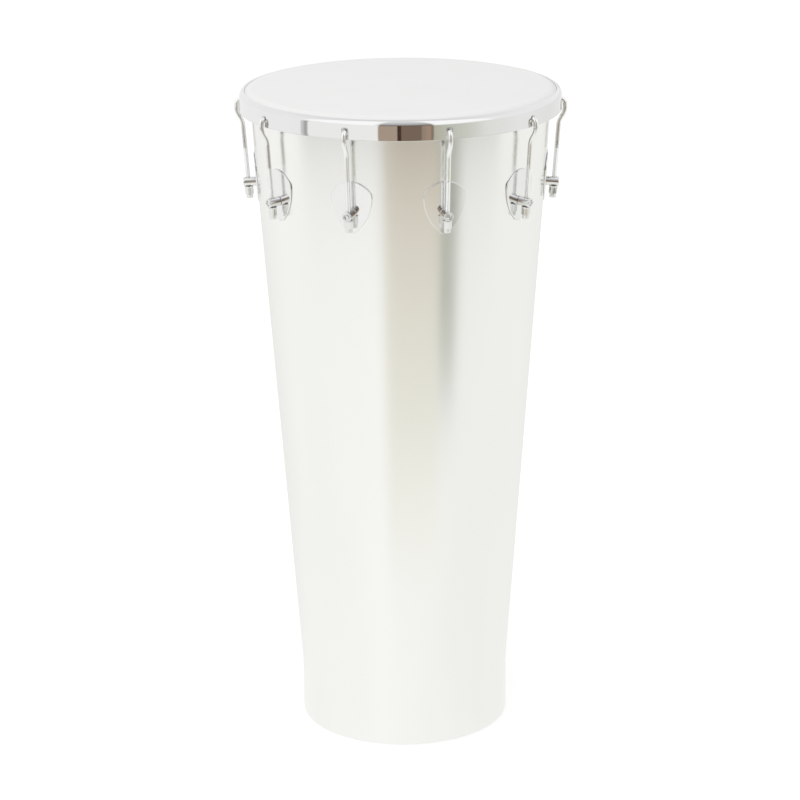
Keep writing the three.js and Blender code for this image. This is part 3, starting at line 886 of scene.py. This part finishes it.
def bore_rows(mouth, top):
    """A nut's rows from the mouth of its bore to the bore's chamfered top."""
    chamfered = (top, NUT_BORE + BORE_CHAMFER, None)
    return [(mouth, NUT_BORE, None), (top - BORE_CHAMFER, NUT_BORE, None), chamfered]


def build_tuning_nut(chrome):
    """Washer face with a coned underside, hexagon and round collar."""
    top, bottom = NUT_TOP, NUT_TOP - NUT_HEIGHT
    under, hex_bottom = top - NUT_FLANGE, bottom + NUT_COLLAR
    corner = NUT_FLATS / 2 / math.cos(SIXTH / 2)
    rows = bore_rows(bottom + NUT_MOUTH_RISE, top)
    rows += [(top - fall, NUT_FLANGE_RADIUS - inset, None) for fall, inset in NUT_FLANGE_EDGE]
    rows += [(under - fall, NUT_FLANGE_RADIUS - inset, max) for fall, inset in NUT_FLANGE_CONE]
    rows += [(hex_bottom + rise, corner - inset, min) for rise, inset in NUT_CHAMFER]
    rows += [(hex_bottom - NUT_COLLAR_STEP, NUT_COLLAR_RADIUS, None)]
    rows += [(bottom + rise, NUT_COLLAR_RADIUS - inset, None) for rise, inset in NUT_COLLAR_EDGE]
    rows += [(bottom, NUT_BORE + NUT_MOUTH_RUN, None)]
    return nut_mesh("tuning_nut", rows, NUT_FLATS, chrome)


def build_lock_nut(steel):
    """Washer face against the shell's inside, and a hexagon."""
    seat, back = -LOCK_SEAT, -LOCK_SEAT - LOCK_FLANGE - LOCK_NUT_HEIGHT
    corner = LOCK_NUT_FLATS / 2 / math.cos(SIXTH / 2)
    rows = bore_rows(back + LOCK_MOUTH_RISE, seat)
    rows += [(seat - fall, LOCK_FLANGE_RADIUS - inset, None) for fall, inset in LOCK_FLANGE_EDGE]
    rows += [(seat - LOCK_FLANGE - LOCK_FLANGE_STEP, LOCK_NUT_FLATS / 2, max)]
    rows += [(back + rise, corner - inset, min) for rise, inset in LOCK_NUT_CHAMFER]
    rows += [(back, NUT_BORE + LOCK_MOUTH_RUN, None)]
    return nut_mesh("lug_lock_nut", rows, LOCK_NUT_FLATS, steel, WALL @ ALONG_X)


def show(mesh, name, nodes, body, matrix=Matrix()):
    """Shows a mesh in place of CAD nodes, riding on their body."""
    piece = bpy.data.objects.new(name, mesh)
    bpy.context.scene.collection.objects.link(piece)
    matrix = matrix.copy()
    matrix.translation = matrix.translation * MM
    piece.matrix_world = matrix
    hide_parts(*nodes)
    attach(piece, body)


def build_drum():
    metals = {name: metal(name, *values) for name, values in METALS.items()}
    shell = build_shell(polished_shell(), metals["shell_inside"])
    flesh_hoop = build_flesh_hoop(metals["plain_aluminium"])
    hoop = build_hoop(metals["hoop_chrome"])
    show(shell, "shell_skin", ["shell"], "root")
    show(build_head(head_film()), "head_film_skin", ["drumhead"], "root")
    show(flesh_hoop, "flesh_hoop_ring", ["flesh_hoop"], "hoop")
    show(hoop, "counterhoop_band", ["counterhoop"], "hoop")
    at_lugs = (
        ("tension_rod", build_rod(metals["rod_chrome"]), "hoop", "rod_chrome"),
        ("lug_post", build_post(metals["lug_chrome"]), "root", "lug_chrome"),
        ("lug_plate", build_plate(metals["plate_chrome"]), "root", "plate_chrome"),
        ("lug_lock_nut", build_lock_nut(metals["zinc_steel"]), "root", "zinc_steel"),
    )
    for kind, mesh, body, slot in at_lugs:
        for i in range(LUG_COUNT):
            node_name = f"{kind}_{i + 1:02d}"
            show(mesh, node_name + "_fine", [node_name], body, lug_turn(i))
    nut = build_tuning_nut(metals["lug_chrome"])
    for i in range(LUG_COUNT):
        node_name, body = f"tuning_nut_{i + 1:02d}", f"nut_{i + 1:02d}"
        stand = lug_turn(i) @ ROD_AXIS @ Matrix.Rotation(math.radians(NUT_TURN * i), 4, "Z")
        show(nut, node_name + "_fine", [node_name], body, stand)


# Camera
CAMERA_TURN = math.radians(1.246)
CAMERA_DISTANCE = 3.3
CAMERA_HEIGHT = 1.435
CAMERA_PITCH = math.radians(17.47)
CAMERA_YAW = math.radians(0.0538)
CAMERA_ROLL = math.radians(-0.425)
LENS = 129.42
SENSOR_WIDTH = 36


def build_camera():
    data = bpy.data.cameras.new("camera")
    data.sensor_width = SENSOR_WIDTH
    data.lens = LENS
    camera = bpy.data.objects.new("camera", data)
    bpy.context.scene.collection.objects.link(camera)
    back = Matrix.Translation((0, -CAMERA_DISTANCE, CAMERA_HEIGHT))
    aim = Matrix.Rotation(CAMERA_YAW, 4, "Z") @ Matrix.Rotation(QUARTER - CAMERA_PITCH, 4, "X")
    roll = Matrix.Rotation(CAMERA_ROLL, 4, "Z")
    camera.matrix_world = Matrix.Rotation(CAMERA_TURN, 4, "Z") @ back @ aim @ roll
    bpy.context.scene.camera = camera


# Studio: what the metal mirrors. Directions are in degrees to the right of the studio's front, and
# an edge is given as (start, end, width of the start, width of the end) or as (place, width).
STUDIO_TURN = 0.58  # the studio's front lies this far to the right of the drum's
PALE = (0.85, 0.85, 0.85, 1)
WHITE = (1, 1, 1, 1)

# The room in front: its brown, and what stands in it, as start, end and the light that it leaves
ROOM = (-14.8, 23.3)
ROOM_SOFT = (1.0, 1.0)
ROOM_BROWN = (0.45, 0.355, 0.28, 1)
ROOM_THINGS = (
    (-1.6, 24, (0.92, 0.8, 0.75)),
    (-1.6, 15, (0.52, 0.54, 0.55)),
    (-1.6, 1, (0.29, 0.25, 0.25)),
    (15, 17.7, (0.8, 0.95, 1)),
    (21.5, 24, (0.62, 0.72, 0.8)),
)
THING_SOFT = (0.6, 0.6)

# The walls round it, by direction
FAR_WALLS = (
    (-180, (0.6, 0.6, 0.59)),
    (-173, (0.64, 0.64, 0.63)),
    (-171, (0.93, 0.93, 0.93)),
    (-120, (0.99, 0.99, 0.99)),
    (-72.6, (0.98, 0.98, 0.98)),
    (-72, (0.68, 0.68, 0.67)),
    (-69.9, (0.62, 0.62, 0.61)),
    (-69.5, (0.42, 0.43, 0.41)),
    (-67.4, (0.42, 0.43, 0.41)),
    (-66.9, (0.99, 0.99, 0.98)),
    (20, (1.0, 1.0, 0.98)),
    (23, (0.53, 0.5, 0.4)),
    (34, (0.6, 0.61, 0.54)),
    (48, (0.69, 0.7, 0.63)),
    (62, (0.85, 0.85, 0.82)),
    (92, (0.94, 0.94, 0.93)),
    (122, (0.91, 0.91, 0.9)),
    (146, (0.88, 0.89, 0.87)),
    (168, (0.9, 0.9, 0.9)),
    (171, (0.66, 0.66, 0.65)),
    (180, (0.6, 0.6, 0.59)),
)

# The paper near the drum by direction, darker towards the back, and in front the painted beige
# light that the room throws on it, by shares of a distance; the floor shows them only to glossy
# rays, as a painted glow
NEAR_PAPER = (
    (-180, (0.62, 0.62, 0.6)),
    (-170, (0.7, 0.7, 0.68)),
    (-160, (0.86, 0.86, 0.84)),
    (-135, (0.92, 0.92, 0.905)),
    (-110, (0.965, 0.965, 0.95)),
    (-60, (0.97, 0.97, 0.955)),
    (-15, (1.0, 1.0, 0.985)),
    (60, (0.93, 0.93, 0.905)),
    (120, (0.93, 0.93, 0.905)),
    (145, (0.9, 0.9, 0.88)),
    (162, (0.86, 0.86, 0.84)),
    (172, (0.66, 0.66, 0.64)),
    (180, (0.62, 0.62, 0.6)),
)
BEIGE_START, BEIGE_RUN = 0.55, 1.6
BEIGE = (
    (0, (0.95, 0.95, 0.9)),
    (0.17, (0.925, 0.91, 0.85)),
    (0.31, (0.84, 0.83, 0.75)),
    (0.75, (0.758, 0.719, 0.632)),
    (1, (0.66, 0.589, 0.486)),
)
BEIGE_SECTOR = (-13, 31, 9.0, 2.0)
BEIGE_EDGE = (0.6, 0.3)
STRIP_COLOUR = (0.46, 0.47, 0.41, 1)
STRIP_SECTOR = (31, 45, 2.0, 14.0)
STRIP_EDGE = (1.15, 0.35)

# In the floor's painted glow, where the paper ends, a dark gap follows and then the walls
PAPER_END, PAPER_SPREAD = 2.4, 0.25
ROOM_START, ROOM_START_SOFT = 3.15, 0.1
GAP_COLOUR = (0.07, 0.06, 0.05, 1)
GAP_SPAN = 80
GAP_SOFT = 8.0

# Above the horizon: colours by shares of the way to the zenith, edges in degrees
HORIZON = (6, 6)
CEILING = ((0.4, grey(0.97)), (0.9, grey(0.8)))
ROOM_ABOVE = (
    (0.08, (0.12, 0.095, 0.08)),
    (0.17, (0.27, 0.26, 0.25)),
    (0.36, grey(0.5)),
    (0.8, grey(0.82)),
)
ABOVE_SOFT = (3.0, 3.0)
SOFTBOXES = ((-72, -18), (25, 70))
SOFTBOX_HEIGHTS = (14, 80, 6.0, 10.0)
SOFTBOX_LEVEL = 1.14

LAMP_SIZE = (3.0, 2.2)
LAMP_ENERGY = 24
LAMP_PLACE = (-1.3, -1.7, 2.9)
LAMP_AIM = (0, 0, 0.5)

# The floor lies just under the foot. It is dull and pale, with a faint fibre in it.
FLOOR_LEVEL = -0.4
FLOOR_RADII = (300, 1000, 3500, 9000)
FLOOR_SIDES = 96
FLOOR_TONES = (grey(0.74), grey(0.76))
FLOOR_FIBRE = 300.0
FLOOR_ROUGHNESS = 0.9
FLOOR_GLOW = 0.4  # for the camera only, so that the lit paper is white


def step_in(tree, value, at, width):
    """0 below a value, 1 above it, with a soft edge of a width."""
    return ease(tree, value, at - width / 2, at + width / 2)


def between(tree, value, low, high, low_width, high_width):
    rise = step_in(tree, value, low, low_width)
    fall = step_in(tree, value, high, high_width)
    return calc(tree, "MULTIPLY", rise, calc(tree, "SUBTRACT", 1.0, fall))


def bearing(tree, x, y):
    """Degrees to the right of the studio's front."""
    from_drum = calc(tree, "DEGREES", calc(tree, "ARCTAN2", x, calc(tree, "MULTIPLY", y, -1.0)))
    return calc(tree, "SUBTRACT", from_drum, STUDIO_TURN)


def degrees_ramp(tree, azimuth, stops):
    """Colours by azimuth, from stops in degrees."""
    low, high = stops[0][0], stops[-1][0]
    share = calc(tree, "DIVIDE", calc(tree, "SUBTRACT", azimuth, low), high - low)
    return ramp(tree, share, [((at - low) / (high - low), colour) for at, colour in stops])


def far_side(tree, azimuth):
    """What stands beyond the paper: pale walls and, in front, the brown room between them."""
    room = ROOM_BROWN
    for start, end, left in ROOM_THINGS:
        covered = between(tree, azimuth, start, end, *THING_SOFT)
        room = blend(tree, covered, room, blend(tree, 1.0, room, (*left, 1), "MULTIPLY"))
    seen = between(tree, azimuth, *ROOM, *ROOM_SOFT)
    return blend(tree, seen, degrees_ramp(tree, azimuth, FAR_WALLS), room)


def near_side(tree, azimuth, distance):
    """The floor's painted glow: white paper near the drum, darker towards the back, and in front
    the room's beige light painted on further off.
    """
    share = calc(tree, "DIVIDE", calc(tree, "SUBTRACT", distance, BEIGE_START), BEIGE_RUN)
    paper = degrees_ramp(tree, azimuth, NEAR_PAPER)
    # Painted light on the paper: the beige that the room throws, and a grey strip beside it
    for sector, edge, colour in (
        (BEIGE_SECTOR, BEIGE_EDGE, ramp(tree, share, BEIGE)),
        (STRIP_SECTOR, STRIP_EDGE, STRIP_COLOUR),
    ):
        covered = between(tree, azimuth, *sector)
        covered = calc(tree, "MULTIPLY", covered, step_in(tree, distance, *edge))
        paper = blend(tree, covered, paper, colour)
    return paper


def build_studio():
    """World by direction. Only glossy rays see the walls, the room and the darker ceiling."""
    world = bpy.data.worlds.new("studio")
    bpy.context.scene.world = world
    world.use_nodes = True
    tree = world.node_tree
    tree.nodes.clear()
    ray = node(tree, "SeparateXYZ", {0: node(tree, "TexCoord").outputs["Generated"]}).outputs
    elevation = calc(tree, "DEGREES", calc(tree, "ARCSINE", ray["Z"]))
    azimuth = bearing(tree, ray["X"], ray["Y"])
    height = calc(tree, "DIVIDE", elevation, 90.0)
    ceiling = ramp(tree, height, CEILING)
    for start, end in SOFTBOXES:
        box = between(tree, azimuth, start, end, *ABOVE_SOFT)
        box = calc(tree, "MULTIPLY", box, between(tree, elevation, *SOFTBOX_HEIGHTS))
        ceiling = blend(tree, box, ceiling, (*grey(SOFTBOX_LEVEL), 1))
    in_room = between(tree, azimuth, *ROOM, *ABOVE_SOFT)
    high = blend(tree, in_room, ceiling, ramp(tree, height, ROOM_ABOVE))
    seen = blend(tree, step_in(tree, elevation, *HORIZON), far_side(tree, azimuth), high)
    path = node(tree, "LightPath").outputs
    colour = blend(tree, path["Is Glossy Ray"], PALE, seen)
    colour = blend(tree, path["Is Transmission Ray"], colour, WHITE)
    colour = blend(tree, path["Is Camera Ray"], colour, WHITE)
    background = node(tree, "Background", {"Color": colour, "Strength": 1.0})
    node(tree, "OutputWorld", {"Surface": background.outputs[0]})


def build_lamp():
    data = bpy.data.lights.new("softbox", "AREA")
    data.shape = "RECTANGLE"
    data.size, data.size_y = LAMP_SIZE
    data.energy = LAMP_ENERGY
    lamp = bpy.data.objects.new("softbox", data)
    bpy.context.scene.collection.objects.link(lamp)
    lamp.location = LAMP_PLACE
    lamp.visible_glossy = False
    lamp.rotation_euler = (Vector(LAMP_AIM) - lamp.location).to_track_quat("-Z", "Y").to_euler()


def build_floor():
    """White floor that keeps the drum's shadow. For glossy rays it glows instead, with a painted
    picture of the paper, the room and the walls that the metal shows as a painted reflection.
    """
    made, tree, shader = material("floor_paper", 0.0)
    made.cycles.emission_sampling = "NONE"
    spot = object_place(tree)
    fibre = noise(tree, spot, FLOOR_FIBRE)
    tone = ramp(tree, fibre, list(zip(CLOUD_RANGE, FLOOR_TONES)))
    tree.links.new(tone, shader.inputs["Base Color"])
    shader.inputs["Roughness"].default_value = FLOOR_ROUGHNESS
    shader.inputs["Specular IOR Level"].default_value = 0.0
    shader.inputs["Emission Color"].default_value = WHITE
    path = node(tree, "LightPath").outputs
    glow = calc(tree, "MULTIPLY", path["Is Camera Ray"], FLOOR_GLOW)
    tree.links.new(glow, shader.inputs["Emission Strength"])
    place = node(tree, "SeparateXYZ", {0: spot}).outputs
    azimuth = bearing(tree, place["X"], place["Y"])
    distance = node(tree, "VectorMath", {0: spot}, operation="LENGTH").outputs["Value"]
    walls = step_in(tree, distance, ROOM_START, ROOM_START_SOFT)
    seen = blend(tree, walls, near_side(tree, azimuth, distance), far_side(tree, azimuth))
    turned_by = calc(tree, "DIVIDE", azimuth, GAP_SPAN)
    further = calc(tree, "MULTIPLY", calc(tree, "MULTIPLY", turned_by, turned_by), PAPER_SPREAD)
    nearer = calc(tree, "SUBTRACT", distance, further)
    gap_edges = (PAPER_END, ROOM_START - ROOM_START_SOFT, ROOM_START_SOFT, ROOM_START_SOFT)
    gap = between(tree, nearer, *gap_edges)
    in_front = between(tree, azimuth, -GAP_SPAN, GAP_SPAN, GAP_SOFT, GAP_SOFT)
    seen = blend(tree, calc(tree, "MULTIPLY", gap, in_front), seen, GAP_COLOUR)
    # Painted glow: glossy rays see this picture as light from the floor, so the metal shows it as
    # a painted reflection
    painted_glow = node(tree, "Emission", {"Color": seen}).outputs[0]
    shaders = {0: path["Is Glossy Ray"], 1: shader.outputs[0], 2: painted_glow}
    mixed = node(tree, "MixShader", shaders).outputs[0]
    tree.links.new(mixed, tree.nodes["Material Output"].inputs["Surface"])
    rings = [[Vector((0, 0, FLOOR_LEVEL))]]
    rings += [circle(r, FLOOR_LEVEL, FLOOR_SIDES) for r in FLOOR_RADII]
    floor = bpy.data.objects.new("floor", make("floor", *skin(rings), [made]))
    bpy.context.scene.collection.objects.link(floor)


bpy.context.scene.view_settings.view_transform = "Standard"
build_drum()
build_camera()
build_studio()
build_lamp()
build_floor()
